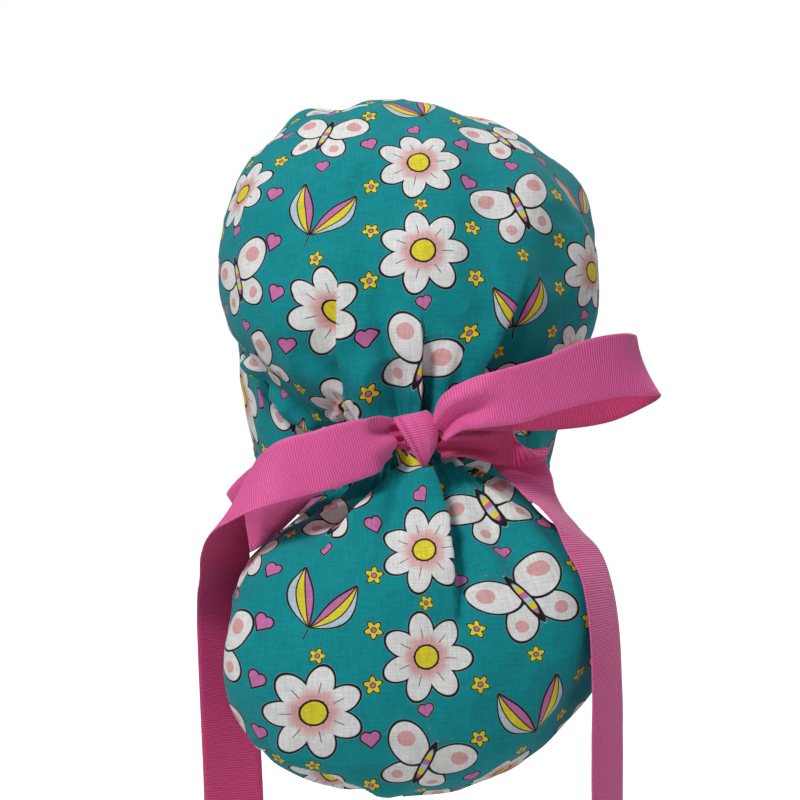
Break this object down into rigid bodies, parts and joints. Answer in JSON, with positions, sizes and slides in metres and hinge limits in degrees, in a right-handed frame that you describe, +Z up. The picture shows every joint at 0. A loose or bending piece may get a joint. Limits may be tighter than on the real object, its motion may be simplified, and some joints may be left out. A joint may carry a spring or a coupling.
{
  "type": "ponytail scrub cap",
  "caption": "Soft cotton scrub cap with a puffed crown, cloth band and hanging hair pouch, tied at the nape with a ribbon bow; shown in its worn form.",
  "frame": {"origin": "inside the head opening, level with the wearer's ear lobes, in the cap's middle plane", "axes": "+Z up, +Y towards the wearer's face, -Y towards the hair pouch, +X towards the wearer's right, which is on the right when the cap is seen from behind"},
  "size_m": [0.2007, 0.2487, 0.3387],
  "materials": {
    "printed_cotton": "matt plain-woven cotton, teal with a repeating print",
    "grosgrain_ribbon": "ribbed grosgrain ribbon, soft sheen"
  },
  "bodies": {
    "root": {"crown": "printed_cotton", "pouch": "printed_cotton", "band": "printed_cotton", "ribbon_wrap": "grosgrain_ribbon", "ribbon_knot": "grosgrain_ribbon", "loop_left": "grosgrain_ribbon", "loop_right": "grosgrain_ribbon", "tail_left": "grosgrain_ribbon", "tail_right": "grosgrain_ribbon"}
  },
  "joints": []
}
